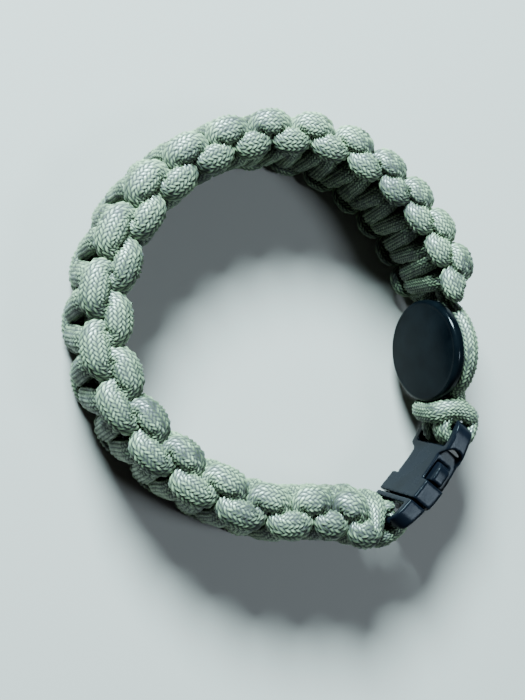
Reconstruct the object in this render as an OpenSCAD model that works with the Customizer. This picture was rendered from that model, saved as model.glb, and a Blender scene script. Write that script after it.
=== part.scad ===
// Cord bracelet woven from one long braided cord, with a side release buckle and a round charm.
// It lies on its side: the wrist axis stands upright along +Z and the floor is z = 0.

/* [Loop] */
// Mean radius of the band's middle line around the wrist
loop_r = 36.5; // [34:0.5:42]
// Height of the band's middle at the sides, half the woven width
half_width = 10.3; // [9.8:0.1:11.5]
// Distance from the band's middle to the middle of a crossing strand, as a share of it below
half_thick = 5.3; // [5.2:0.1:6]

/* [Cord] */
// Thickness of the braided cord where nothing squeezes it
cord_d = 4; // [3.6:0.1:4.1]
// Half knots along the weave, each strand crosses the band once in each
half_knots = 40; // [30:2:42]
// Sideways distance of each core run from the band's middle
core_side = 2.0; // [1.95:0.05:2.1]
// Smallest gap that is kept between two parts
gap = 0.2; // [0.15:0.05:0.3]

/* [Buckle] */
// Length of the socket half
socket_len = 18; // [17.4:0.2:20]
// Visible length of the plug half
plug_len = 6.4; // [6.2:0.1:7]
// Width of the seam between the two halves
seam = 0.4; // [0.3:0.05:0.6]
// Width of the buckle
buckle_w = 15.4; // [15:0.2:18]
// Thickness of the buckle along its sides, at its middle
side_t = 4.5; // [4.3:0.1:5]
// Rise of the outer face from the sides to its middle
crown = 1.7; // [1.2:0.1:2.4]
// Radius of the buckle's bent inner face
bend_r = 58; // [50:1:80]
// Radius of its bent outer face
outer_bend_r = 34; // [30:1:44]
// Thickness of the bars that the cord is looped over
bar_t = 2.0; // [1.8:0.1:2.2]
// Length of the socket's cord slot
slot_len = 3.7; // [3.6:0.1:4.2]
// Length of the plug's cord slot
plug_slot = 3.2; // [3.2:0.1:3.6]
// Depth of the side windows
window_depth = 2.4; // [2:0.1:2.8]
// Thickness of the plug's arms
arm_t = 2.7; // [2.2:0.1:2.8]
// Outward lean of the buckle's upper edge
buckle_lean = 8; // [5:1:12]

/* [Charm] */
// Diameter of the round charm
charm_d = 20.4; // [19:0.2:21]
// Thickness of the charm's inner plate at its rim
plate_t = 1.5; // [1.2:0.1:1.8]
// Rise of the domed face above the rim
dome_h = 1.1; // [0.8:0.1:1.3]
// Outward lean of the charm's upper edge
charm_lean = 19; // [14:1:21]

/* [Hidden] */
$fn = 48;
sides = 8;
// Shape of the loop as it lies: share of loop_r at every 20 degrees, from the charm's side round
loop_shape = [0.924, 0.904, 0.914, 0.953, 1.012, 1.044, 1.047, 1.038, 1.019, 1.003,
    0.978, 0.948, 0.934, 0.953, 0.994, 1.142, 1.046, 1.050];
// Bearing of the first crossing
start_bearing = -66.8;
// Share of the mean pitch in each tenth of the weave, loose on the left, tight at both ends
looseness = [0.80, 1.12, 1.10, 1.23, 1.24, 1.03, 0.91, 0.92, 0.82, 0.83];
// First half of a half knot. Columns: along (share of the pitch), across (share of half_width),
// out (share of half_thick), wide and thick (half sizes, shares of cord_d), room (share of the pitch)
half_knot = [
    [0.00, 0.00, 0.68, 0.50, 0.385, 0.45],
    [-0.15, 0.42, 0.60, 0.46, 0.385, 0.33],
    [-0.25, 0.605, 0.06, 0.395, 0.395, 0.18],
    [-0.21, 0.745, -0.33, 0.42, 0.355, 0.235],
    [0.08, 0.86, -0.42, 0.56, 0.375, 9],
    [0.50, 0.88, -0.44, 0.60, 0.385, 9]];

u_bar_plug = -4.1;
x_bar = bar_t / 2;
cheek = 1.9;
buckle_len = socket_len + plug_len + seam;
groove_r = charm_d / 2 - 1.9;
ring_x = -0.75 * cord_d;
ring_u = charm_d / 2 + gap + 0.48 * cord_d;
bars_apart = buckle_len - bar_t;
u_bar_socket = u_bar_plug - bars_apart - 0.4;
u_charm = u_bar_socket + ring_x - ring_u;
charm_in = 0.9;
band_lean = -3;

function unit(v) = v / norm(v);
function wrap(a, n) = a - n * floor(a / n);
function bend(a, b, c, d, t) = b + t * (c - a) / 2 + t * t * (2 * a - 5 * b + 4 * c - d) / 2
    + t * t * t * (3 * b - a - 3 * c + d) / 2;

n_shape = len(loop_shape);
shape_step = 360 / n_shape;
function share_at(b) = let (s = wrap(b, 360) / shape_step, i = floor(s), t = s - i,
    g = [for (j = [-1:2]) loop_shape[(i + j + n_shape) % n_shape]]) bend(g[0], g[1], g[2], g[3], t);
function loop_pt(b) = loop_r * share_at(b) * [cos(b), sin(b)];
ring_pts = [for (i = [0:360]) loop_pt(start_bearing - i)];
function sums(v, i = 0, s = 0, out = []) = i == len(v) ? concat(out, [s])
    : sums(v, i + 1, s + v[i], concat(out, [s]));
ring_len = sums([for (i = [0:359]) norm(ring_pts[i + 1] - ring_pts[i])]);
loop_len = ring_len[360];
turn_table = [for (i = [0:360]) [ring_len[i], i]];
// The band turns in sharply beside the plug. Columns: place along the band, shift inward
inset_table = [[-4, 0], [0, 1.45], [8, 1.0], [19, 0]];
function mid(u) = let (p = loop_pt(start_bearing - lookup(wrap(u, loop_len), turn_table)))
    p - unit(p) * lookup(u > loop_len / 2 ? u - loop_len : u, inset_table);
function along(u) = unit(mid(u + 1.5) - mid(u - 1.5));

weave_len = loop_len + u_charm - charm_d / 2 - 0.35 * cord_d;
lean_table = [[u_charm - 70, band_lean], [u_charm - 42, 6], [u_charm - 13, 0.55 * charm_lean],
    [u_charm, charm_lean], [u_charm - ring_x + ring_u, buckle_lean], [-1, buckle_lean], [9, band_lean]];
function lean(u) = lookup(u > weave_len / 2 ? u - loop_len : u, lean_table);
function mid_z(a) = half_width * cos(a) + 0.75 * half_thick * sin(a);

// A frame is [origin, along, across, outward]
function frame(o, t, a) = let (n = [-t[1], t[0], 0], z = [0, 0, 1])
    [[o[0], o[1], mid_z(a)], [t[0], t[1], 0], z * cos(a) + n * sin(a), n * cos(a) - z * sin(a)];
function frame_at(u) = frame(mid(u), along(u), lean(u));
function put(f, p) = f[0] + f[1] * p[0] + f[2] * p[1] + f[3] * p[2];
function aim(f, p) = f[1] * p[0] + f[2] * p[1] + f[3] * p[2];

end_a = mid(u_bar_socket);
end_b = mid(u_bar_plug);
buckle_dir = unit(end_b - end_a);
buckle_frame = frame((end_a + end_b) / 2 - buckle_dir * buckle_len / 2, buckle_dir, buckle_lean);

// The charm lies on the line from the last crossing to the socket's bar, a little inward of it
socket_bar = end_a + buckle_dir * (norm(end_b - end_a) - bars_apart) / 2;
charm_dir = unit(socket_bar - mid(weave_len));
charm_frame = frame(socket_bar + charm_dir * (ring_x - ring_u) + charm_in * [charm_dir[1], -charm_dir[0]],
    charm_dir, charm_lean);
ring_frame = frame(socket_bar, charm_dir, (charm_lean + buckle_lean) / 2);

// A row of a cord is [place, hint for its thick side, half width, half thickness]
function row(f, p, h, wide, thick) = [put(f, p), aim(f, h), wide, thick];

// Where each half knot starts along the weave
function loose_at(k) = lookup((k + 0.5) / half_knots, [for (i = [0:9]) [i / 10 + 0.05, looseness[i]]]);
knot_sum = sums([for (k = [0:half_knots - 1]) loose_at(k)]);
mean_pitch = weave_len / knot_sum[half_knots];
knot_u = concat([[-1, -mean_pitch * looseness[0]]],
    [for (k = [0:half_knots]) [k, mean_pitch * knot_sum[k]]],
    [[half_knots + 1, weave_len + mean_pitch * looseness[9]]]);
function knot_at(k) = lookup(k, knot_u);
function pitch_at(k) = knot_at(k + 0.5) - knot_at(k - 0.5);

// Share of its thickness that the weave keeps at u, it is drawn flatter towards the charm
flat_table = [[weave_len - 75, 1], [weave_len - 45, 0.8], [weave_len, 0.78]];
function flat(u) = lookup(u, flat_table);

// One row of the half knot table placed for half knot k, s is the side, m turns the strand over
function knot_row(k, r, s, m, back) = let (u = knot_at(back ? k + 1 - r[0] : k + r[0]),
    out = half_thick * flat(u) * (1 + 0.3 * max(0, loose_at(k) - 1)),
    p = [0, m * s * r[1] * half_width, m * r[2] * out],
    q = mean_pitch * loose_at(k) * norm(put(frame_at(u + 1), p) - put(frame_at(u - 1), p)) / 2)
    row(frame_at(u), p, [0, p[1], p[2]],
        min(r[3] * cord_d * (r[5] > 1 ? (1 + flat(u)) / 2 : 1), r[5] * q),
        r[4] * cord_d * pow(flat(u), 1.15));
last = len(half_knot) - 1;
function half_knot_rows(k, m, final) = let (s = k % 2 == 0 ? -1 : 1) concat(
    [for (i = [0:last]) knot_row(k, half_knot[i], s, m, false)],
    [for (i = [last - 1:-1:final ? 2 : 1]) knot_row(k, half_knot[i], s, m, true)]);

// The start of a working strand, from the plug's slot over its bar.
// Columns: along from the bar's middle, across, out, half width, half thickness
strand_start = [
    [-1.25 * bar_t, 2.6, 0.5, 1.95, 1.22],
    [-1.20 * bar_t, 2.6, 1.3, 1.95, 1.22],
    [-0.70 * bar_t, 2.5, 2.4, 1.95, 1.22],
    [0, 2.2, 2.6, 1.95, 1.3]];
// The core's end at the plug, one run passes inside the bar and the other outside it
core_start = [
    [-1.25 * bar_t, 2.6, -0.5, 1.95, 1.22],
    [-1.20 * bar_t, 2.6, -1.3, 1.95, 1.22],
    [-0.70 * bar_t, 2.5, -2.45, 1.95, 1.2],
    [0, 2.1, -2.5, 1.75, 1.1]];
// From the bar into the weave, measured from the first crossing: along, across, out and half sizes
outer_lead = [[-4.0, 1.6, 4.0, 1.8, 1.4]];
inner_lead = [];
core_lead_inside = [[-2.0, 1.5, -0.4, 1.3, 1.1], [0.6, 1.8, 0.1, 1.45, 1.3]];
core_lead_outside = [[-4.9, -2.4, 3.65, 1.7, 1.1], [-3.2, -2.15, 2.05, 1.7, 1.15],
    [-1.1, -1.95, 0.5, 1.7, 1.3]];
function bar_row(r, m, mc, sg) = row(buckle_frame, [buckle_len - x_bar + r[0], m * r[1], mc * r[2]],
    sg * [r[0], 0, mc * r[2]], r[3], r[4]);
function lead_row(r, h) = row(frame_at(0), [r[0], r[1], r[2]], [0, 0, h], r[3], r[4]);
function strand(m) = concat(
    [for (i = [0:m > 0 ? 3 : 2]) bar_row(strand_start[i], m, m, 1)],
    [for (r = m > 0 ? outer_lead : inner_lead) lead_row(r, m)],
    [for (k = [0:half_knots - 1]) each half_knot_rows(k, m, k == half_knots - 1)]);

// The core's hitch on the socket's bar, as above, then the hint for the thick side. The first and
// last rows are measured in the ring's frame, the others in the buckle's
hitch_in = [
    [ring_x - 1.9, 2.3, 0.4, 1.8, 1.3, [0, 0, 1]],
    [ring_x + 0.2, 2.05, -0.5, 1.8, 1.3, [0, 0, 1]]];
hitch_bar = [
    [0, 2.1, -2.7, 1.85, 1.3, [0, 0, 1]],
    [1.9, 2.2, -2.1, 1.85, 1.4, [-1, 0, 1]],
    [2.75, 2.3, 0, 1.85, 1.45, [-1, 0, 0]],
    [1.9, 2.6, 2.2, 1.9, 1.4, [-1, 0, -1]],
    [0, 2.9, 2.6, 1.9, 1.3, [0, 0, -1]]];
hitch_ring = [
    [-1.5, 3.9, 3.7, 1.7, 1.4, [-0.6, -0.4, -1]],
    [ring_x + 0.3, 5.5, 2.3, 1.5, 1.4, [0, -1, -1]],
    [ring_x - 1.3, 5.8, 0, 1.25, 1.35, [0, -1, 0]],
    [ring_x - 1.8, 5.1, -2.5, 1.2, 1.35, [0, -1, 0.9]],
    [ring_x - 0.8, 3.3, -4.1, 1.7, 1.4, [0, -0.4, 1]]];
function hitch_row(f, r, x, s) =
    row(f, [x + r[0], s * r[1], r[2]], [r[5][0], s * r[5][1], r[5][2]], r[3], r[4]);
function core_run(s, in) = concat(
    [for (r = core_start) bar_row(r, s, in, -in)],
    [for (r = in > 0 ? core_lead_inside : core_lead_outside) lead_row(r, 1)],
    [for (i = [0:44]) let (u = 2.2 + i * (weave_len - 3.2) / 44) row(frame_at(u), [0, s * core_side, 0],
        [0, 0, 1], 0.44 * cord_d, 0.46 * cord_d * pow(flat(u), 1.15))],
    [row(charm_frame, [-groove_r - 1.8, 2.7 * s, 0.7], [0, 0, 1], 1.7, 1.5)],
    [for (a = [152, 132, 110, 90, 70, 48, 28]) row(charm_frame,
        [groove_r * cos(a), s * groove_r * sin(a), abs(a - 90) > 60 ? 0.15 : 0], [0, 0, 1],
        0.46 * cord_d, 0.44 * cord_d)],
    [for (r = hitch_in) hitch_row(ring_frame, r, 0, s)],
    [for (r = hitch_bar) hitch_row(buckle_frame, r, x_bar, s)],
    [for (r = hitch_ring) hitch_row(ring_frame, r, 0, s)]);
function flip(v) = [for (i = [len(v) - 1:-1:0]) v[i]];
core_rows = concat(core_run(1, 1),
    [row(ring_frame, [ring_x, 0, -4.5], [0, 0, 1], 1.7, 1.35)], flip(core_run(-1, -1)));

// A tube swept through rows of places
function tube_points(rows) = let (n = len(rows),
    dirs = [for (i = [0:n - 1]) unit(rows[min(i + 1, n - 1)][0] - rows[max(i - 1, 0)][0])])
    concat([for (i = [0:n - 1]) let (up = unit(rows[i][1] - dirs[i] * (rows[i][1] * dirs[i])),
        b = cross(dirs[i], up)) for (j = [0:sides - 1]) let (a = 360 * (j + 0.5) / sides)
        rows[i][0] + b * rows[i][2] * cos(a) + up * rows[i][3] * sin(a)], [rows[0][0], rows[n - 1][0]]);
module tube(points) {
    n = (len(points) - 2) / sides;
    polyhedron(points = points, faces = concat(
        [for (i = [0:n - 2]) for (j = [0:sides - 1]) let (k = (j + 1) % sides)
            each [[i * sides + j, i * sides + k, (i + 1) * sides + k],
                [i * sides + j, (i + 1) * sides + k, (i + 1) * sides + j]]],
        [for (j = [0:sides - 1]) [n * sides, (j + 1) % sides, j]],
        [for (j = [0:sides - 1]) [n * sides + 1, (n - 1) * sides + j, (n - 1) * sides + (j + 1) % sides]]),
        convexity = 10);
}
outer_points = tube_points(strand(1));
inner_points = tube_points(strand(-1));
core_points = tube_points(core_rows);
all_points = concat(outer_points, inner_points, core_points);
function low(i) = min([for (p = all_points) p[i]]);
function high(i) = max([for (p = all_points) p[i]]);
// The origin is on the floor, under the middle of the whole bracelet
origin = [(low(0) + high(0)) / 2, (low(1) + high(1)) / 2, low(2)];

module in_frame(f) translate(-origin) multmatrix([
    [f[1][0], f[2][0], f[3][0], f[0][0]],
    [f[1][1], f[2][1], f[3][1], f[0][1]],
    [f[1][2], f[2][2], f[3][2], f[0][2]], [0, 0, 0, 1]]) children();

module outer_strand() color("#8b927c") translate(-origin) tube(outer_points);
module inner_strand() color("#8b927c") translate(-origin) tube(inner_points);
module core_cord() color("#7f8672") translate(-origin) tube(core_points);

// The bent slab that both halves of the buckle are cut from, flat inside and crowned outside
z_in = -0.7;
z_arm = z_in + side_t / 2;
module slab(x0, x1, w, ts) {
    crown_r = (w * w / 4 + crown * crown) / (2 * crown);
    difference() {
        intersection() {
            translate([x0, -w / 2, z_in - 3]) cube([x1 - x0, w, ts + crown + 4]);
            translate([buckle_len / 2, 0, z_in + ts - outer_bend_r]) rotate([90, 0, 0])
                rotate_extrude($fn = 128) intersection() {
                    translate([outer_bend_r - 9, -w / 2]) square([9 + 2 * crown, w]);
                    translate([outer_bend_r + crown - crown_r, 0]) circle(r = crown_r, $fn = 96);
                }
        }
        translate([buckle_len / 2, w, z_in - bend_r]) rotate([90, 0, 0])
            cylinder(r = bend_r, h = 2 * w, $fn = 160);
    }
}
module block(x0, x1, y, z) translate([x0, -y / 2, z_arm - z / 2]) cube([x1 - x0, y, z]);
// Tool that rounds one corner of the plan, q says which way the corner points
module corner(x, y, r, q) translate([x, y, 0]) difference() {
    translate([q[0] > 0 ? -r : -1, q[1] > 0 ? -r : -1, -9]) cube([r + 1, r + 1, 18]);
    translate([-q[0] * r, -q[1] * r, -10]) cylinder(r = r, h = 20);
}
// Tool that rounds the outer edge of an end, q says which way the end points
module nose(x, q, r, ts) {
    xn = x - q * r;
    z_mid = z_in + ts + 0.25 * crown - outer_bend_r;
    dx = xn - buckle_len / 2;
    zn = z_mid + sqrt((outer_bend_r - r) * (outer_bend_r - r) - dx * dx);
    a = abs(dx) / (outer_bend_r - r) * 6;
    translate([xn, buckle_w, zn]) rotate([90, 0, 0]) linear_extrude(2 * buckle_w) difference() {
        polygon([[0, 0], [q * a, 6], [q * 6, 6], [q * 6, 0]]);
        circle(r = r);
    }
}

// Cut for the cord slot at the end x, q says which way the buckle goes on, the bar stays
module bar_slot(x, q, len) translate([x, 0, 0]) difference() {
    translate([q > 0 ? -1 : -bar_t - len, -buckle_w / 2 + cheek, -9])
        cube([bar_t + len + 1, buckle_w - 2 * cheek, 18]);
    translate([q * bar_t / 2, buckle_w, 0]) rotate([90, 0, 0]) cylinder(r = bar_t / 2, h = 2 * buckle_w);
}

block_len = 4.45;
window_a = bar_t + slot_len + 0.5;
window_b = socket_len - block_len;
cavity_w = buckle_w - 2 * 1.6;
cavity_t = arm_t + 2 * gap;
// Plan of a side window: it falls in an S from the head and rises in a steep one to the block
function fall(t) = (1 - cos(180 * t)) / 2;
window_plan = concat([for (t = [0:0.125:1]) [window_a + 1.7 * t, -window_depth * fall(t)]],
    [for (t = [0:0.2:1]) [window_b - 0.25 * (1 - t), -window_depth * fall(1 - t)]],
    [[window_b, 1], [window_a, 1]]);

module buckle_socket() color("#2b3036") in_frame(buckle_frame) difference() {
    slab(0, socket_len, buckle_w, side_t);
    for (s = [-1, 1]) corner(0, s * buckle_w / 2, 2.3, [-1, s]);
    nose(0, -1, 1.3, side_t);
    // cord slot with its round bar
    bar_slot(0, 1, slot_len);
    // hollow for the plug's arms
    block(bar_t + slot_len + 1.3, socket_len + 1, 4, cavity_t);
    block(window_a + 2.4, socket_len + 1, cavity_w, cavity_t);
    // side windows where the arms are pressed, with a scoop in the head's end
    for (s = [-1, 1]) {
        translate([0, s * buckle_w / 2, -9]) mirror([0, s > 0 ? 0 : 1, 0])
            linear_extrude(18) polygon(window_plan);
        translate([window_a + 1.5, s > 0 ? buckle_w / 2 + 1 : -buckle_w / 2 + window_depth, z_arm])
            rotate([90, 0, 0]) cylinder(r = arm_t / 2 + 1, h = window_depth + 1);
    }
}

arm_y = cavity_w / 2 - 1.8;
pad_a = window_a + 2.6;
pad_b = window_b - 0.25 - gap;
pad_y = buckle_w / 2 - 0.25;
pad_plan = concat([[pad_a, arm_y - 0.7]],
    [for (t = [0:0.2:1]) [pad_a + 1.7 * (1 - cos(90 * t)), pad_y - 1.9 * (1 - sin(90 * t))]],
    [[pad_b - 0.3, pad_y + 0.1], [pad_b, pad_y - 0.2], [pad_b, arm_y - 0.7]]);
module buckle_plug() color("#2b3036") in_frame(buckle_frame) {
    plug_w = buckle_w - 0.4;
    plug_t = side_t - 0.3;
    difference() {
        union() {
            slab(socket_len + seam, buckle_len, plug_w, plug_t);
            // guide rod in the middle
                    block(window_a + 1.2, socket_len + 1, 2.4, arm_t);
            // springy arms and their pads
            for (s = [-1, 1]) {
                translate([pad_a + 0.2, s * arm_y - 0.7, z_arm - arm_t / 2])
                    cube([socket_len + 1 - pad_a, 1.4, arm_t]);
                translate([0, 0, z_arm - arm_t / 2]) mirror([0, s > 0 ? 0 : 1, 0])
                    linear_extrude(arm_t) polygon(pad_plan);
            }
        }
        bar_slot(buckle_len, -1, plug_slot);
        for (s = [-1, 1]) corner(buckle_len, s * plug_w / 2, 3.4, [1, s]);
        nose(buckle_len, 1, 2.2, plug_t);
    }
}

// Round charm: the cord lies in the groove between its two plates
groove_t = 0.96 * cord_d + 2 * gap;
hub_r = groove_r - 0.46 * cord_d - gap;
back_r = groove_r - 1.2;
back_t = 0.9;
dome_r = ((charm_d / 2 - 0.8) * (charm_d / 2 - 0.8) + dome_h * dome_h) / (2 * dome_h);
module charm() color("#23282c") in_frame(charm_frame) {
    translate([0, 0, -groove_t / 2 - 0.1]) cylinder(r = hub_r, h = groove_t + 0.2);
    translate([0, 0, -groove_t / 2 - plate_t]) cylinder(r = charm_d / 2, h = plate_t, $fn = 64);
    translate([0, 0, groove_t / 2]) cylinder(r = back_r, h = back_t, $fn = 64);
    intersection() {
        translate([0, 0, -groove_t / 2 - plate_t - dome_h + dome_r]) sphere(r = dome_r, $fn = 96);
        translate([0, 0, -groove_t / 2 - plate_t - dome_h - 1])
            cylinder(r = charm_d / 2 - 0.8, h = dome_h + 1.5, $fn = 64);
    }
}

outer_strand();
inner_strand();
core_cord();
buckle_socket();
buckle_plug();
charm();
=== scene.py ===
# Woven cord bracelet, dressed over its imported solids: braided sheaths on the cord, a moulded
# buckle and a glossy round charm, on a pale floor. Lengths in the dictionaries are millimetres,
# apart from the floor's and the lights', and angles are degrees.
import math

import bpy
import numpy as np
from mathutils import Matrix


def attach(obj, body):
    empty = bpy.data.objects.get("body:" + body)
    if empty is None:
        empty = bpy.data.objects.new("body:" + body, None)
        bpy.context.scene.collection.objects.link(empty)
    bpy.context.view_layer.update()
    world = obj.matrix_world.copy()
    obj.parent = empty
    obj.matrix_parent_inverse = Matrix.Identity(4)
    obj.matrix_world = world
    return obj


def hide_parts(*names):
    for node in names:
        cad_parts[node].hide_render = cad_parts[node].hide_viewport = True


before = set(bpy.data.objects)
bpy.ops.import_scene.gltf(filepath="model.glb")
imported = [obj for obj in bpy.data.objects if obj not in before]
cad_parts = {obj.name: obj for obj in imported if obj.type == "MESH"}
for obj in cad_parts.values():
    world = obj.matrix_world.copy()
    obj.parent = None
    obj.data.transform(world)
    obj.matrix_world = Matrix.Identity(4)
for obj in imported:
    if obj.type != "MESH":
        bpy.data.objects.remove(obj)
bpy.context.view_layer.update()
mm = 0.001
print("frame loaded")


def linearColour(hexColour):
    parts = [int(hexColour.lstrip("#")[i:i + 2], 16) / 255 for i in (0, 2, 4)]
    return [c / 12.92 if c <= 0.04045 else ((c + 0.055) / 1.055) ** 2.4 for c in parts] + [1.0]


def addNode(tree, kind, settings=None, inputs=None, links=None):
    # settings are the node's own options, inputs are socket values, links are (source socket, input's name)
    node = tree.nodes.new(kind)
    for key, value in (settings or {}).items():
        setattr(node, key, value)
    for key, value in (inputs or {}).items():
        node.inputs[key].default_value = value
    for source, target in (links or []):
        tree.links.new(source, node.inputs[target])
    return node


def newMaterial(name):
    material = bpy.data.materials.new(name)
    material.use_nodes = True
    tree = material.node_tree
    tree.nodes.clear()
    output = addNode(tree, "ShaderNodeOutputMaterial")
    shader = addNode(tree, "ShaderNodeBsdfPrincipled")
    tree.links.new(shader.outputs["BSDF"], output.inputs["Surface"])
    return material, tree, shader


def setRamp(node, places, colours):
    for element, place, colour in zip(node.color_ramp.elements, places, colours):
        element.position = place
        element.color = colour


def addObject(name, data):
    item = bpy.data.objects.new(name, data)
    bpy.context.scene.collection.objects.link(item)
    return item


def meshObject(name, points, faces, material, smooth=True):
    mesh = bpy.data.meshes.new(name)
    mesh.from_pydata(np.asarray(points).tolist(), [], faces)
    mesh.update()
    mesh.polygons.foreach_set("use_smooth", [smooth] * len(mesh.polygons))
    mesh.materials.append(material)
    return addObject(name, mesh)


def unit(vectors):
    vectors = np.asarray(vectors, float)
    return vectors / np.linalg.norm(vectors, axis=-1, keepdims=True)


def lengthsAlong(points):
    # how far along the path each of its points lies
    return np.concatenate([[0], np.cumsum(np.linalg.norm(np.diff(points, axis=0), axis=1))])


def aimObject(item, back, right, place):
    # the object looks away from back, and right is at its right hand
    back = unit(back)
    right = unit(right - back * np.dot(right, back))
    up = np.cross(back, right)
    matrix = Matrix.Identity(4)
    for row in range(3):
        matrix[row] = right[row], up[row], back[row], place[row]
    item.matrix_world = matrix


camera = {
    "lens": 70.97, "sensor": 36.0,       # the sensor's size along the picture's long side
    "aim": (-5.224, -3.934, 19.0),       # the point in the picture's middle
    "distance": 260.0,
    "back": (-0.2469, -0.0507, 0.9678),  # from that point to the camera
    "right": (0.9690, 0.0, 0.2472),
    "near": 10.0, "far": 20000.0,        # only what lies between is drawn
}


def makeCamera():
    data = bpy.data.cameras.new("photoCamera")
    data.sensor_fit = "AUTO"
    data.sensor_width = camera["sensor"]
    data.lens = camera["lens"]
    data.clip_start = camera["near"] * mm
    data.clip_end = camera["far"] * mm
    item = addObject("photoCamera", data)
    back = unit(camera["back"])
    aimObject(item, back, np.array(camera["right"]),
              (np.array(camera["aim"]) + back * camera["distance"]) * mm)
    bpy.context.scene.camera = item


makeCamera()
print("camera placed")


# The loop that the band follows, with the values of the part's source
loop = {
    "radius": 36.5,
    "shape": [0.924, 0.904, 0.914, 0.953, 1.012, 1.044, 1.047, 1.038, 1.019, 1.003,
              0.978, 0.948, 0.934, 0.953, 0.994, 1.142, 1.046, 1.050],  # of the radius, every 20 degrees
    "startBearing": -66.8,               # of the first crossing
    "halfWidth": 10.3,
    "halfThick": 5.3,
    "halfKnots": 40,
    "looseness": [0.80, 1.12, 1.10, 1.23, 1.24, 1.03, 0.91, 0.92, 0.82, 0.83],  # of each tenth of them
    "bulge": 0.3,                        # how much further out the strands lie in a loose half knot
    "cord": 4.0,
    "coreSide": 2.0,                     # from the band's middle to each core run
    "gap": 0.2,
    "bandLean": -3.0,
    "leanLift": 0.75,                    # share of halfThick that lifts a leaning band
    # lengths before the charm's middle where the band starts to turn over, where it has turned
    # to an angle, and where it has turned to a share of the charm's lean
    "leanFrom": 70, "leanThen": (42, 6.0), "leanNext": (13, 0.55),
    "leanBack": (-1, 9),                 # past the plug: where the buckle's lean ends and bandLean starts
    "chord": 1.5,                        # half the length over which the band's direction is taken
    "inset": ([-4, 0, 8, 19], [0, 1.45, 1.0, 0]),   # where and how far the band turns in beside the plug
    "flatter": ([-75, -45, 0], [1, 0.8, 0.78]),     # share of its thickness kept, from the weave's end
    "thinner": 1.15,                     # power of that share which the cords themselves keep
    "origin": (-1.17637, 0.0638782, -0.691272),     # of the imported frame
}
buckle = {
    "length": 24.8, "bar": 2.0, "lean": 8.0,
    "plugBarPlace": -4.1,                # along the band, from the first crossing
    "slack": 0.4,                        # the straight buckle cuts the loop's curve short
    "toRing": 0.75,                      # from the socket's bar to the ring of cord, share of the cord
    "voxel": 0.18,                       # size of the cells that the halves are remade from
    "rounding": 24, "smoothing": 0.5,    # passes that round the edges, and the strength of each
}
charm = {
    "diameter": 20.4, "plate": 1.5, "rise": 1.1, "dome": 0.55, "shoulder": 0.95,
    "lean": 19.0, "inward": 0.9,
    "groove": 1.9, "grooveWidth": 0.96,  # from the rim to the cord's line, and width as a share of the cord
    "hub": 0.46,                         # share of the cord that lies between the groove's line and the hub
    "back": 0.9, "backInset": 1.2,
    "rimEdge": 0.4, "grooveEdge": 0.3, "backEdge": 0.35,
    "toRing": 0.48, "toWeave": 0.35,     # room for the cord at either side, shares of the cord
    # the shoulder's arc is a little fuller and starts a little later (radians), to run on from the face
    "fuller": 1.02, "later": 0.05,
    "backFlat": 0.8,                     # from the back plate's rim to its first inner ring of points
    "segments": 96, "faceRings": 24, "shoulderRings": 14, "edgeRings": 6,
}

cord = loop["cord"]
charmRadius = charm["diameter"] / 2
grooveRadius = charmRadius - charm["groove"]
ringX = -buckle["toRing"] * cord
ringU = charmRadius + loop["gap"] + charm["toRing"] * cord
barsApart = buckle["length"] - buckle["bar"]
barX = buckle["bar"] / 2
uPlug = buckle["plugBarPlace"]
uSocket = uPlug - barsApart - buckle["slack"]
uCharm = uSocket + ringX - ringU


def shareAt(bearing):
    # cubic through the loop's shape
    shape = loop["shape"]
    place = (bearing % 360) / (360 / len(shape))
    i, t = int(place), place % 1
    a, b, c, d = (shape[(i + j) % len(shape)] for j in (-1, 0, 1, 2))
    return (b + t * (c - a) / 2 + t * t * (2 * a - 5 * b + 4 * c - d) / 2
            + t ** 3 * (3 * b - a - 3 * c + d) / 2)


def loopPoint(bearing):
    angle = math.radians(bearing)
    return loop["radius"] * shareAt(bearing) * np.array([math.cos(angle), math.sin(angle)])


degreesRound = np.arange(361)
degreeLengths = lengthsAlong(np.array([loopPoint(loop["startBearing"] - i) for i in degreesRound]))
loopLength = degreeLengths[-1]
weaveLength = loopLength + uCharm - charmRadius - charm["toWeave"] * cord

# place along the band, and how far its upper edge leans outwards there
leanTable = np.array([[uCharm - loop["leanFrom"], loop["bandLean"]],
                      [uCharm - loop["leanThen"][0], loop["leanThen"][1]],
                      [uCharm - loop["leanNext"][0], loop["leanNext"][1] * charm["lean"]],
                      [uCharm, charm["lean"]], [uCharm - ringX + ringU, buckle["lean"]],
                      [loop["leanBack"][0], buckle["lean"]], [loop["leanBack"][1], loop["bandLean"]]])


def midPoint(u):
    point = loopPoint(loop["startBearing"] - np.interp(u % loopLength, degreeLengths, degreesRound))
    return point - unit(point) * np.interp(u - loopLength if u > loopLength / 2 else u, *loop["inset"])


def along(u):
    return unit(midPoint(u + loop["chord"]) - midPoint(u - loop["chord"]))


def leanAt(u):
    return float(np.interp(u - loopLength if u > weaveLength / 2 else u, *leanTable.T))


def flatAt(u):
    return float(np.interp(u - weaveLength, *loop["flatter"]))


class Place:
    # A local frame on the band: along it, across it (up) and out of it
    def __init__(self, point, direction, lean):
        a = math.radians(lean)
        n = np.array([-direction[1], direction[0], 0.0])
        z = np.array([0.0, 0.0, 1.0])
        height = loop["halfWidth"] * math.cos(a) + loop["leanLift"] * loop["halfThick"] * math.sin(a)
        self.origin = np.array([point[0], point[1], height])
        self.axes = np.array([[direction[0], direction[1], 0.0], z * math.cos(a) + n * math.sin(a),
                              n * math.cos(a) - z * math.sin(a)])

    def put(self, p):
        return self.origin + np.asarray(p, float) @ self.axes

    def aim(self, p):
        return np.asarray(p, float) @ self.axes


def placeAt(u):
    return Place(midPoint(u), along(u), leanAt(u))


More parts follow.
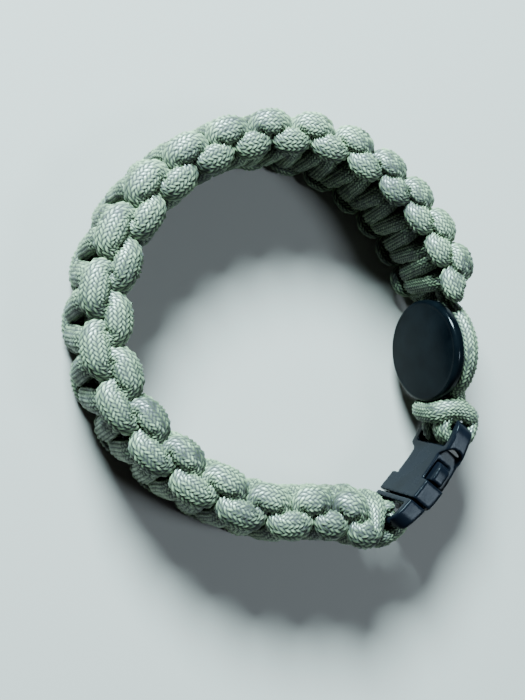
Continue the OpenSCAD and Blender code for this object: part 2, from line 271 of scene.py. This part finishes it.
socketEnd, plugEnd = midPoint(uSocket), midPoint(uPlug)
buckleDir = unit(plugEnd - socketEnd)
bucklePlace = Place((socketEnd + plugEnd) / 2 - buckleDir * buckle["length"] / 2, buckleDir, buckle["lean"])
socketBar = socketEnd + buckleDir * (np.linalg.norm(plugEnd - socketEnd) - barsApart) / 2
charmDir = unit(socketBar - midPoint(weaveLength))
charmInward = charm["inward"] * np.array([charmDir[1], -charmDir[0]])
charmPlace = Place(socketBar + charmDir * (ringX - ringU) + charmInward, charmDir, charm["lean"])
ringPlace = Place(socketBar, charmDir, (charm["lean"] + buckle["lean"]) / 2)

tenths = (np.arange(len(loop["looseness"])) + 0.5) / len(loop["looseness"])
looseAt = np.interp((np.arange(loop["halfKnots"]) + 0.5) / loop["halfKnots"], tenths, loop["looseness"])
knotSum = np.concatenate([[0], np.cumsum(looseAt)])
meanPitch = weaveLength / knotSum[-1]
knotPlaces = np.concatenate([[-meanPitch * loop["looseness"][0]], meanPitch * knotSum,
                             [weaveLength + meanPitch * loop["looseness"][-1]]])


def knotAt(k):
    return float(np.interp(k, np.arange(-1, loop["halfKnots"] + 2), knotPlaces))


# Each row of a cord is a point, a hint for its thick side, a half width and a half thickness
strand = {
    # along (share of the pitch), across (share of halfWidth), out (share of halfThick),
    # half width and half thickness (shares of the cord), room along the band (share of the pitch,
    # 9 where nothing limits it, as on the wraps at the band's edges).
    # The sheath is a little plumper than the solid, as the real strands press on each other.
    "halfKnot": [
        (0.00, 0.00, 0.67, 0.62, 0.43, 0.54),
        (-0.09, 0.38, 0.67, 0.62, 0.44, 0.54),
        (-0.16, 0.60, 0.46, 0.60, 0.44, 0.50),
        (-0.19, 0.74, 0.00, 0.58, 0.42, 0.42),
        (-0.12, 0.82, -0.30, 0.62, 0.41, 0.42),
        (0.08, 0.865, -0.42, 0.66, 0.42, 9),
        (0.50, 0.885, -0.44, 0.71, 0.43, 9)],
    # from the plug's slot over its bar: along from the bar's middle, across, out, half sizes
    "start": [(-2.5, 2.6, 0.5, 1.95, 1.22), (-2.4, 2.6, 1.3, 1.95, 1.22), (-1.4, 2.5, 2.4, 1.95, 1.3)],
    "outerStart": [(0, 2.2, 2.7, 1.95, 1.45)],      # the outer strand alone goes on round the bar
    "outerLead": [(-4.0, 1.6, 4.0, 1.9, 1.5)],
}


def knotRow(k, row, side, turn, back):
    shift, across, out, wide, thick, room = row
    u = knotAt(k + 1 - shift if back else k + shift)
    here, flat, loose = placeAt(u), flatAt(u), looseAt[k]
    p = [0, turn * side * across * loop["halfWidth"],
         turn * out * loop["halfThick"] * flat * (1 + loop["bulge"] * max(0, loose - 1))]
    stretch = np.linalg.norm(placeAt(u + 1).put(p) - placeAt(u - 1).put(p)) / 2
    wide *= cord * ((1 + flat) / 2 if room > 1 else 1)
    return (here.put(p), here.aim([0, p[1], p[2]]), min(wide, meanPitch * loose * stretch * room),
            thick * cord * flat ** loop["thinner"])


def strandRows(turn):
    # turn is 1 for the strand that crosses the outer face and -1 for the one that crosses the inner face
    table = strand["halfKnot"]
    rows = [(bucklePlace.put([buckle["length"] - barX + x, turn * across, turn * out]),
             bucklePlace.aim([x, 0, turn * out]), wide, thick)
            for x, across, out, wide, thick in strand["start"] + (strand["outerStart"] if turn > 0 else [])]
    first = placeAt(0)
    rows += [(first.put(r[:3]), first.aim([0, 0, turn]), r[3], r[4])
             for r in (strand["outerLead"] if turn > 0 else [])]
    for k in range(loop["halfKnots"]):
        side = -1 if k % 2 == 0 else 1
        kept = 3 if k == loop["halfKnots"] - 1 else 1       # the last half knot ends before it crosses back
        rows += [knotRow(k, r, side, turn, False) for r in table]
        rows += [knotRow(k, r, side, turn, True) for r in table[kept:-1][::-1]]
    return rows


core = {
    # columns as in the strands' start
    "start": [(-2.5, 2.6, -0.5, 1.95, 1.22), (-2.4, 2.6, -1.3, 1.95, 1.22),
              (-1.4, 2.5, -2.45, 1.95, 1.2), (0, 2.1, -2.5, 1.75, 1.1)],
    "leadInside": [(-2.0, 1.5, -0.4, 1.4, 1.1), (0.6, 1.8, 0.1, 1.5, 1.3)],
    "leadOutside": [(-4.9, -2.4, 3.65, 1.8, 1.2), (-3.2, -2.15, 2.05, 1.8, 1.25),
                    (-1.1, -1.95, 0.5, 1.7, 1.3)],
    "runRows": 45, "runStart": 2.2, "runEnd": 1.0,          # inside the weave, from its two ends
    "halfWidth": 0.45, "halfThick": 0.46, "arcHalfWidth": 0.56,     # shares of the cord
    "beforeCharm": (-1.8, 2.7, 0.7, 1.75, 1.6),
    "arc": [(152, 0.15), (132, 0), (110, 0), (90, 0), (70, 0), (48, 0), (28, 0.15)],  # angle, out
    "arcRaise": 0.25,                    # over the groove's line
    # along, across, out, half sizes, hint, in the frame of the ring or of the buckle
    "hitchIn": [(ringX - 1.9, 2.3, 0.4, 1.85, 1.4, (0, 0, 1)),
                (ringX + 0.2, 2.05, -0.5, 1.9, 1.4, (0, 0, 1))],
    "hitchBar": [(0, 2.1, -2.7, 1.95, 1.35, (0, 0, 1)), (1.9, 2.2, -2.1, 1.95, 1.4, (-1, 0, 1)),
                 (2.75, 2.3, 0, 1.95, 1.45, (-1, 0, 0)), (1.9, 2.6, 2.2, 1.95, 1.4, (-1, 0, -1)),
                 (0, 2.9, 2.6, 1.95, 1.35, (0, 0, -1))],
    "hitchRing": [(-1.5, 3.9, 3.7, 1.75, 1.45, (-0.6, -0.4, -1)),
                  (ringX + 0.3, 5.5, 2.3, 1.75, 1.45, (0, -1, -1)),
                  (ringX - 0.9, 5.8, 0, 1.75, 1.45, (0, -1, 0)),
                  (ringX - 1.1, 5.1, -2.5, 1.75, 1.45, (0, -1, 0.9)),
                  (ringX - 0.5, 3.3, -4.1, 1.85, 1.5, (0, -0.4, 1))],
    "ringMiddle": (0, 0, -4.5, 1.9, 1.5),
    # the upper cord fills the slot's corner, and the ring lies closer and flatter at its upper end
    "upperHitch": {"across": 1.28, "wider": 1.28},
    "upperRing": {"shift": 0.6, "across": 0.84, "out": -0.3, "wider": 1.15},
}


def hitchRow(place, row, x, side, shift=0, across=1, out=0, wider=1):
    # shift and out move the row, across and wider multiply its place across and its half width
    hint = (row[5][0], side * row[5][1], row[5][2])
    return (place.put([x + row[0] + shift, side * row[1] * across, row[2] + out]), place.aim(hint),
            row[3] * wider, row[4])


def coreRun(side, inward):
    # side is 1 for the upper run and -1 for the lower one, inward is 1 for the run that passes the
    # plug's bar on the wrist's side and -1 for the one that passes outside it
    rows = [(bucklePlace.put([buckle["length"] - barX + r[0], side * r[1], inward * r[2]]),
             bucklePlace.aim([-inward * r[0], 0, -r[2]]), r[3], r[4]) for r in core["start"]]
    first = placeAt(0)
    rows += [(first.put(r[:3]), first.aim([0, 0, 1]), r[3], r[4])
             for r in core["leadInside" if inward > 0 else "leadOutside"]]
    for u in np.linspace(core["runStart"], weaveLength - core["runEnd"], core["runRows"]):
        rows.append((placeAt(u).put([0, side * loop["coreSide"], 0]), placeAt(u).aim([0, 0, 1]),
                     core["halfWidth"] * cord, core["halfThick"] * cord * flatAt(u) ** loop["thinner"]))
    x, across, out, wide, thick = core["beforeCharm"]
    rows.append((charmPlace.put([x - grooveRadius, across * side, out]), charmPlace.aim([0, 0, 1]),
                 wide, thick))
    radius = grooveRadius + core["arcRaise"]
    for degrees, out in core["arc"]:
        a = math.radians(degrees)
        rows.append((charmPlace.put([radius * math.cos(a), side * radius * math.sin(a), out]),
                     charmPlace.aim([0, 0, 1]), core["arcHalfWidth"] * cord, core["halfThick"] * cord))
    hitch, ring = (core["upperHitch"], core["upperRing"]) if side > 0 else ({}, {})
    rows += [hitchRow(ringPlace, r, 0, side, **hitch) for r in core["hitchIn"]]
    rows += [hitchRow(bucklePlace, r, barX, side, **hitch) for r in core["hitchBar"]]
    rows += [hitchRow(ringPlace, r, 0, side, **ring) for r in core["hitchRing"]]
    return rows


def coreRows():
    x, across, out, wide, thick = core["ringMiddle"]
    middle = [(ringPlace.put([ringX + x, across, out]), ringPlace.aim([0, 0, 1]), wide, thick)]
    return coreRun(1, 1) + middle + coreRun(-1, -1)[::-1]


sheath = {
    "yarns": 16,                         # each way round, as in cord with 32 yarns
    "row": 12.8 / 60,                    # step between rows: four make a stitch, 64 a yarn's full turn
    "relief": 0.36,                      # height of a yarn over the joint beside it
    # heights as shares of the relief: on a stitch over a crossing, in its middle, where a yarn lies under
    "crossing": 0.92, "middle": 1.25, "under": 0.22,
    "level": 0.75,                       # the height that lies on the cord's oval section
    "uneven": 0.10,                      # how much yarns and stitches differ in height
    "fineStep": 0.06, "soften": 0.45,    # step and width of the smoothing of the path
    "cap": 1.3, "capSmallest": 0.0004,   # length over which an end closes, square of what stays open
    "ratios": (0.35, 1.35, 41),          # thickness over width: least, most, number of tables
    "parts": 2,                          # pieces that each cord is parted into
}
yarnDraws = 4096                         # random values for the turns of the yarns, more than a cord has


def smoothThrough(places, values, wanted):
    # cubic through the values, with slopes from their neighbours
    slopes = np.empty_like(values)
    slopes[1:-1] = (values[2:] - values[:-2]) / (places[2:] - places[:-2])[:, None]
    slopes[0] = (values[1] - values[0]) / (places[1] - places[0])
    slopes[-1] = (values[-1] - values[-2]) / (places[-1] - places[-2])
    i = np.clip(np.searchsorted(places, wanted, side="right") - 1, 0, len(places) - 2)
    h = places[i + 1] - places[i]
    t = ((wanted - places[i]) / h)[:, None]
    h = h[:, None]
    return ((2 * t ** 3 - 3 * t ** 2 + 1) * values[i] + (t ** 3 - 2 * t ** 2 + t) * h * slopes[i]
            + (3 * t ** 2 - 2 * t ** 3) * values[i + 1] + (t ** 3 - t ** 2) * h * slopes[i + 1])


def soften(values, width):
    # moving average with a bell shaped weight, the ends stay
    reach = int(3 * width) + 1
    weights = np.exp(-0.5 * (np.arange(-reach, reach + 1) / width) ** 2)
    weights /= weights.sum()
    padded = np.vstack([np.repeat(values[:1], reach, 0), values, np.repeat(values[-1:], reach, 0)])
    return np.stack([np.convolve(column, weights, mode="valid") for column in padded.T], 1)


def sectionAngles(ratio, columns):
    # angles that part the rim of an oval section into equal lengths
    a = np.linspace(0, 2 * math.pi, 361)
    lengths = lengthsAlong(np.stack([np.cos(a), ratio * np.sin(a)], 1))
    return np.interp(np.linspace(0, lengths[-1], columns, endpoint=False), lengths, a)


ratioSteps = np.linspace(*sheath["ratios"])
angleTables = np.array([sectionAngles(r, 4 * sheath["yarns"]) for r in ratioSteps])


def sweepPath(rows):
    # a smooth path through the rows, at each row of the braid: point, across, up, half sizes
    points = np.array([r[0] for r in rows]) - np.array(loop["origin"])
    hints = np.array([unit(r[1]) for r in rows])
    sizes = np.array([[r[2], r[3]] for r in rows])
    chord = lengthsAlong(points)
    fine = np.arange(0, chord[-1], sheath["fineStep"])
    data = soften(smoothThrough(chord, np.hstack([points, hints, sizes]), fine),
                  sheath["soften"] / sheath["fineStep"])
    walked = lengthsAlong(data[:, :3])
    steps = np.arange(int(walked[-1] / sheath["row"])) * sheath["row"]
    data = np.stack([np.interp(steps, walked, column) for column in data.T], 1)
    points, hints, sizes = data[:, :3], data[:, 3:6], data[:, 6:]
    heading = unit(np.gradient(points, axis=0))
    up = unit(hints - heading * (hints * heading).sum(1)[:, None])
    reach = np.minimum(steps, steps[-1] - steps)
    cap = np.sqrt(np.clip(1 - (1 - np.clip(reach / sheath["cap"], 0, 1)) ** 2, sheath["capSmallest"], 1))
    return points, np.cross(heading, up), up, sizes, cap


def braidLattice(count, seed):
    # lattice of half yarns: row k, place m round it, with m and k both even or both odd
    k = np.arange(count)[:, None]
    m = 2 * np.arange(2 * sheath["yarns"])[None, :] + (k % 2)
    p, q = (m + k) // 2, (m - k) // 2
    onS, onZ = p % 2 == 1, q % 2 == 1        # on the crest of a right or a left hand yarn
    i, j = p // 2, q // 2
    rightOver = (i + j) % 4 < 2
    before = (i + j - 1) % 4 < 2
    height = np.where(onS & onZ, sheath["crossing"], 0.0)
    for crest, over in ((onS & ~onZ, rightOver & before), (onZ & ~onS, ~rightOver & ~before)):
        height = np.where(crest, np.where(over, sheath["middle"], sheath["under"]), height)
    random = np.random.default_rng(seed)
    yarnLift = random.normal(0, sheath["uneven"], (2, yarnDraws))
    stitchLift = random.normal(0, sheath["uneven"], height.shape)
    lift = np.where(rightOver, yarnLift[0][i % yarnDraws], yarnLift[1][j % yarnDraws]) + stitchLift
    height = height + lift * (height > sheath["under"])
    rightTone, leftTone = random.normal(0, 1, yarnDraws), random.normal(0, 1, yarnDraws)
    return m, height, np.where(rightOver, rightTone[i % yarnDraws], leftTone[j % yarnDraws])


def laidRound(path, m, height):
    # the lattice laid round the oval sections, each point raised by its height
    points, side, up, sizes, cap = path
    ratio = np.clip(sizes[:, 1] / sizes[:, 0], ratioSteps[0], ratioSteps[-1])
    table = np.round((ratio - ratioSteps[0]) / (ratioSteps[1] - ratioSteps[0])).astype(int)
    angle = angleTables[table[:, None], m % (4 * sheath["yarns"])]
    wide, thick = (sizes[:, 0] * cap)[:, None], (sizes[:, 1] * cap)[:, None]
    normal = unit(np.stack([np.cos(angle) / wide, np.sin(angle) / thick], 2))
    rise = (height - sheath["level"]) * sheath["relief"] * cap[:, None]
    x = wide * np.cos(angle) + normal[:, :, 0] * rise
    y = thick * np.sin(angle) + normal[:, :, 1] * rise
    return points[:, None, :] + side[:, None, :] * x[:, :, None] + up[:, None, :] * y[:, :, None]


def sheathPart(label, spots, low, high, material):
    # rows low to high of the tube, closed by a cap across each zigzag end
    columns = spots.shape[1]
    kk, cc = np.meshgrid(np.arange(low, high - 2), np.arange(columns), indexing="ij")
    odd = kk % 2
    after = (kk + 1) * columns + (cc + odd) % columns
    ahead = (kk + 1) * columns + (cc - 1 + odd) % columns
    faces = (np.stack([kk * columns + cc, ahead, (kk + 2) * columns + cc, after], 2).reshape(-1, 4)
             - low * columns).tolist()
    corners = spots[low:high].reshape(-1, 3)
    for row, turn in ((low, 1), (high - 2, -1)):
        middle = len(corners)
        corners = np.vstack([corners, spots[row:row + 2].reshape(-1, 3).mean(0)])
        here, there = (row - low) * columns, (row - low + 1) * columns
        first, second = (here, there) if row % 2 == 0 else (there, here)
        for c in range(columns):
            for edge in ((first + c, second + c), (second + c, first + (c + 1) % columns)):
                faces.append([*edge[::turn], middle])
    print(label, "faces", len(faces))
    return meshObject(label, corners * mm, faces, material)


def braidedSheath(name, rows, material, seed):
    path = sweepPath(rows)
    count, parts = len(path[0]), sheath["parts"]
    m, height, tone = braidLattice(count, seed)
    spots = laidRound(path, m, height)
    cuts = [int(count * n / parts) for n in range(parts)] + [count - 2]
    items = []
    for n in range(parts):
        low, high = cuts[n], cuts[n + 1] + 2
        item = sheathPart(name + "ABCD"[n], spots, low, high, material)
        for attribute, values in (("yarnRelief", height), ("yarnTone", tone)):
            layer = item.data.attributes.new(attribute, "FLOAT", "POINT")
            layer.data.foreach_set("value", np.append(values[low:high].ravel(), [0, 0]).astype(np.float32))
        items.append(item)
    print(name, "rows", count, "length %.0f mm" % (count * sheath["row"]))
    return items


braid = {
    # the joint colour is painted shade: the low parts of the yarns fade to it, where shade falls between
    # them
    "light": "#809370", "dark": "#2b3122", "jointShade": "#080a06",
    "toneStops": (0.25, 0.62), "yarnTone": 0.10,    # where patches are dark and light, share of each yarn
    "roughness": 0.34, "jointRoughness": 0.8,       # on the crest of a yarn and beside it
    "shadeDepth": (0.18, 1.10), "gloss": (0.25, 0.95),   # heights over which the painted shade fades out, and over which roughness changes
    "ior": 1.53, "specular": 0.65,                  # nylon, a little glossier for its twisted filaments
    "sheen": 0.05, "sheenRoughness": 0.4, "sheenTint": "#dfe8e6",
    "patch": 9.0909,                     # size of the worn and clean patches
    "filament": 0.4,                     # filaments are 0.03 mm across, drawn coarser so that they show
    "bump": 0.35, "bumpHeight": 0.08,
}


def braidedNylon():
    # nylon filaments twisted and braided: each yarn has a soft sheen on its crest, and painted shade
    # darkens its low parts, in the joints and where it dips under
    material, tree, shader = newMaterial("braidedNylon")
    where = addNode(tree, "ShaderNodeTexCoord").outputs["Object"]
    relief = addNode(tree, "ShaderNodeAttribute", {"attribute_name": "yarnRelief"}).outputs["Fac"]
    tone = addNode(tree, "ShaderNodeAttribute", {"attribute_name": "yarnTone"}).outputs["Fac"]
    patches = addNode(tree, "ShaderNodeTexNoise", None,
                      {"Scale": 1000 / braid["patch"], "Detail": 3.0, "Roughness": 0.55},
                      [(where, "Vector")])
    mixTone = addNode(tree, "ShaderNodeMath", {"operation": "MULTIPLY_ADD"}, {1: braid["yarnTone"]},
                      [(tone, 0), (patches.outputs["Fac"], 2)])
    yarnColour = addNode(tree, "ShaderNodeValToRGB", None, None, [(mixTone.outputs[0], "Fac")])
    setRamp(yarnColour, braid["toneStops"], (linearColour(braid["dark"]), linearColour(braid["light"])))
    # painted shade: a yarn's colour darkens to the joint colour where it lies low, in the joints and where
    # it dips under another
    shadeDepth = addNode(tree, "ShaderNodeMapRange", None,
                    {"From Min": braid["shadeDepth"][0], "From Max": braid["shadeDepth"][1]}, [(relief, "Value")])
    colour = addNode(tree, "ShaderNodeMix", {"data_type": "RGBA"}, None,
                     [(shadeDepth.outputs[0], 0), (yarnColour.outputs["Color"], "B")])
    colour.inputs["A"].default_value = linearColour(braid["jointShade"])
    tree.links.new(colour.outputs["Result"], shader.inputs["Base Color"])
    rough = addNode(tree, "ShaderNodeMapRange", None,
                    {"From Min": braid["gloss"][0], "From Max": braid["gloss"][1],
                     "To Min": braid["jointRoughness"], "To Max": braid["roughness"]}, [(relief, "Value")])
    tree.links.new(rough.outputs[0], shader.inputs["Roughness"])
    filaments = addNode(tree, "ShaderNodeTexNoise", None,
                        {"Scale": 1000 / braid["filament"], "Detail": 2.0}, [(where, "Vector")])
    bump = addNode(tree, "ShaderNodeBump", None,
                   {"Strength": braid["bump"], "Distance": braid["bumpHeight"] * mm},
                   [(filaments.outputs["Fac"], "Height")])
    tree.links.new(bump.outputs["Normal"], shader.inputs["Normal"])
    shader.inputs["IOR"].default_value = braid["ior"]
    shader.inputs["Specular IOR Level"].default_value = braid["specular"]
    shader.inputs["Sheen Weight"].default_value = braid["sheen"]
    shader.inputs["Sheen Roughness"].default_value = braid["sheenRoughness"]
    shader.inputs["Sheen Tint"].default_value = linearColour(braid["sheenTint"])
    return material


moulding = {
    "plastic": "#04060a", "worn": "#090c12", "wornStops": (0.3, 0.75),
    "roughness": (0.15, 0.32), "roughnessFrom": (0.3, 0.7),
    "ior": 1.48, "specular": 0.06,       # acetal, toned down as the pale floor would grey its black faces
    "patch": 6.25,                       # size of the patches that handling leaves
    "grain": 0.25,                       # the mould's pits are about 0.05 mm apart, drawn coarser to show
    "bump": 0.25, "bumpHeight": 0.03,
}


def mouldedAcetal():
    # acetal from a finely spark eroded mould: satin, with broad soft highlights along its rounded edges
    material, tree, shader = newMaterial("mouldedAcetal")
    where = addNode(tree, "ShaderNodeTexCoord").outputs["Object"]
    patches = addNode(tree, "ShaderNodeTexNoise", None, {"Scale": 1000 / moulding["patch"], "Detail": 4.0},
                      [(where, "Vector")]).outputs["Fac"]
    colour = addNode(tree, "ShaderNodeValToRGB", None, None, [(patches, "Fac")])
    setRamp(colour, moulding["wornStops"],
            (linearColour(moulding["plastic"]), linearColour(moulding["worn"])))
    tree.links.new(colour.outputs["Color"], shader.inputs["Base Color"])
    rough = addNode(tree, "ShaderNodeMapRange", None,
                    {"From Min": moulding["roughnessFrom"][0], "From Max": moulding["roughnessFrom"][1],
                     "To Min": moulding["roughness"][0], "To Max": moulding["roughness"][1]},
                    [(patches, "Value")])
    tree.links.new(rough.outputs[0], shader.inputs["Roughness"])
    grain = addNode(tree, "ShaderNodeTexNoise", None, {"Scale": 1000 / moulding["grain"], "Detail": 3.0},
                    [(where, "Vector")])
    bump = addNode(tree, "ShaderNodeBump", None,
                   {"Strength": moulding["bump"], "Distance": moulding["bumpHeight"] * mm},
                   [(grain.outputs["Fac"], "Height")])
    tree.links.new(bump.outputs["Normal"], shader.inputs["Normal"])
    shader.inputs["IOR"].default_value = moulding["ior"]
    shader.inputs["Specular IOR Level"].default_value = moulding["specular"]
    return material


resin = {
    "body": "#020406", "scuff": "#070b0e", "scuffStops": (0.35, 0.8),
    "roughness": (0.12, 0.26), "roughnessFrom": (0.35, 0.75),
    "ior": 1.5, "specular": 0.07,        # epoxy, toned down as the pale floor would grey the dark face
    "haze": 4.54545,                     # size of the hazy patches
}


def castResin():
    # poured epoxy resin, dark all through: a smooth domed gloss with faintly hazed patches
    material, tree, shader = newMaterial("castResin")
    where = addNode(tree, "ShaderNodeTexCoord").outputs["Object"]
    haze = addNode(tree, "ShaderNodeTexNoise", None, {"Scale": 1000 / resin["haze"], "Detail": 5.0},
                   [(where, "Vector")]).outputs["Fac"]
    colour = addNode(tree, "ShaderNodeValToRGB", None, None, [(haze, "Fac")])
    setRamp(colour, resin["scuffStops"], (linearColour(resin["body"]), linearColour(resin["scuff"])))
    tree.links.new(colour.outputs["Color"], shader.inputs["Base Color"])
    rough = addNode(tree, "ShaderNodeMapRange", None,
                    {"From Min": resin["roughnessFrom"][0], "From Max": resin["roughnessFrom"][1],
                     "To Min": resin["roughness"][0], "To Max": resin["roughness"][1]}, [(haze, "Value")])
    tree.links.new(rough.outputs[0], shader.inputs["Roughness"])
    shader.inputs["IOR"].default_value = resin["ior"]
    shader.inputs["Specular IOR Level"].default_value = resin["specular"]
    return material


nylonMaterial, acetalMaterial, resinMaterial = braidedNylon(), mouldedAcetal(), castResin()
print("materials made")

pieces = []
for name, node, rows, seed in (("outerStrandSheath", "outer_strand", strandRows(1), 11),
                               ("innerStrandSheath", "inner_strand", strandRows(-1), 12),
                               ("coreCordSheath", "core_cord", coreRows(), 13)):
    pieces += [(item, node, "cord") for item in braidedSheath(name, rows, nylonMaterial, seed)]
print("cords braided")


def mouldedCopy(name, node, material):
    # the solid's own shape in fine cells, then smoothed, so that every edge gets its small radius
    item = addObject(name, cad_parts[node].data.copy())
    remesh = item.modifiers.new("cells", "REMESH")
    remesh.mode = "VOXEL"
    remesh.voxel_size = buckle["voxel"] * mm
    remesh.use_smooth_shade = True
    smooth = item.modifiers.new("edges", "SMOOTH")
    smooth.factor = buckle["smoothing"]
    smooth.iterations = buckle["rounding"]
    bpy.context.view_layer.update()
    final = bpy.data.meshes.new_from_object(item.evaluated_get(bpy.context.evaluated_depsgraph_get()))
    final.name = name
    final.materials.clear()
    final.materials.append(material)
    final.polygons.foreach_set("use_smooth", [True] * len(final.polygons))
    item.modifiers.clear()
    item.data = final
    print(name, "faces", len(final.polygons))
    return item


pieces.append((mouldedCopy("socketMoulding", "buckle_socket", acetalMaterial), "buckle_socket", "buckle"))
pieces.append((mouldedCopy("plugMoulding", "buckle_plug", acetalMaterial), "buckle_plug", "buckle"))
print("buckle moulded")


def charmProfile():
    # radius and height (towards the wrist) of the turned shape, from the middle of its face outwards
    def arc(r, h, size, start, end, count):
        return [(r + size * math.cos(a), h + size * math.sin(a)) for a in np.linspace(start, end, count)]

    half = charm["grooveWidth"] * cord / 2 + loop["gap"]
    hub = grooveRadius - charm["hub"] * cord - loop["gap"]
    shoulder, dome, low = charm["shoulder"], charm["dome"], -half - charm["back"]
    quarter, edgeRings = math.pi / 2, charm["edgeRings"]

    # a slightly domed face, a round shoulder and an upright side
    faceHigh = half + charm["plate"] + charm["rise"]
    flatRadius = charmRadius - shoulder
    domeRadius = flatRadius ** 2 / 2 / dome + dome / 2
    dip = math.asin(flatRadius / domeRadius)
    profile = [(domeRadius * math.sin(t), faceHigh + domeRadius * (math.cos(t) - 1))
               for t in np.linspace(0, dip, charm["faceRings"])]
    full = shoulder * charm["fuller"]
    profile += arc(charmRadius - full, faceHigh - dome - shoulder, full,
                   quarter - dip - charm["later"], 0, charm["shoulderRings"])
    edge = charm["rimEdge"]
    profile += arc(charmRadius - edge, half + edge, edge, 0, -quarter, edgeRings)

    # the groove that the cord lies in, and the plain plate behind it
    edge = charm["grooveEdge"]
    profile += [(hub + edge, half), (hub, half - edge), (hub, edge - half), (hub + edge, -half)]
    edge, backRadius = charm["backEdge"], grooveRadius - charm["backInset"]
    profile += arc(backRadius - edge, -half - edge, edge, quarter, 0, edgeRings)
    profile += arc(backRadius - edge, low + edge, edge, 0, -quarter, edgeRings)
    profile += [(r, low) for r in np.linspace(backRadius - charm["backFlat"], 0, edgeRings)]
    return profile


def turnedCharm(name, material):
    profile, count = charmProfile(), charm["segments"]
    points, faces = [], []
    for r, h in profile:
        for s in range(count if r > 0 else 1):
            a = 2 * math.pi * s / count
            points.append(charmPlace.put([r * math.cos(a), r * math.sin(a), -h]) - np.array(loop["origin"]))
    starts = np.concatenate([[0], np.cumsum([count if r > 0 else 1 for r, h in profile])])
    for row in range(len(profile) - 1):
        a, b = int(starts[row]), int(starts[row + 1])
        onA, onB = profile[row][0] > 0, profile[row + 1][0] > 0
        for s in range(count):
            t = (s + 1) % count
            if onA and onB:
                faces.append([a + s, b + s, b + t, a + t])
            elif onB:
                faces.append([a, b + s, b + t])
            else:
                faces.append([a + s, b, a + t])
    return meshObject(name, np.array(points) * mm, faces, material)


pieces.append((turnedCharm("domedCharm", resinMaterial), "charm", "charm"))
print("charm turned")

for piece, node, slot in pieces:
    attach(piece, "root")
    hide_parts(node)
print("pieces joined to the frame")


studio = {
    "floor": "#8a847e", "floorRoughness": 0.75, "floorSize": 2.4,       # metres, as the lights' lengths
    "mottle": 166.6667,                  # millimetres between the board's faint blotches
    "mottleShade": 0.97, "mottleStops": (0.2, 0.8),
    # light: size, power, place, colour
    "key": (0.36, 118.0, (-0.24, 0.72, 0.60), "#caedf6"),
    "fill": (0.24, 7.5, (0.52, -0.20, 0.82), "#cfe6f6"),
    "aim": (0.0, 0.0, 0.01),             # where both lights point
    "world": "#cfd6dc", "worldStrength": 0.05,
}


def makeFloor():
    # board with matt paint: an even, pale ground without a mirror image
    material, tree, shader = newMaterial("paleBoard")
    where = addNode(tree, "ShaderNodeTexCoord").outputs["Object"]
    mottle = addNode(tree, "ShaderNodeTexNoise", None, {"Scale": 1000 / studio["mottle"], "Detail": 4.0},
                     [(where, "Vector")])
    colour = addNode(tree, "ShaderNodeValToRGB", None, None, [(mottle.outputs["Fac"], "Fac")])
    pale = linearColour(studio["floor"])
    shaded = [c * studio["mottleShade"] for c in pale[:3]] + [1.0]
    setRamp(colour, studio["mottleStops"], (shaded, pale))
    tree.links.new(colour.outputs["Color"], shader.inputs["Base Color"])
    shader.inputs["Roughness"].default_value = studio["floorRoughness"]
    half = studio["floorSize"] / 2
    floor = meshObject("floor", [(-half, -half, 0), (half, -half, 0), (half, half, 0), (-half, half, 0)],
                       [[0, 1, 2, 3]], material, smooth=False)


def makeLights():
    for name in ("key", "fill"):
        size, power, place, colourHex = studio[name]
        light = bpy.data.lights.new(name + "Light", "AREA")
        light.shape = "DISK"
        light.size = size
        light.energy = power
        light.color = linearColour(colourHex)[:3]
        back = np.array(place) - np.array(studio["aim"])
        aimObject(addObject(name + "Light", light), back, np.cross([0, 0, 1], back), place)
    world = bpy.data.worlds.new("softRoom")
    world.use_nodes = True
    bpy.context.scene.world = world
    background = world.node_tree.nodes["Background"]
    background.inputs["Color"].default_value = linearColour(studio["world"])
    background.inputs["Strength"].default_value = studio["worldStrength"]


makeFloor()
makeLights()
print("studio made")
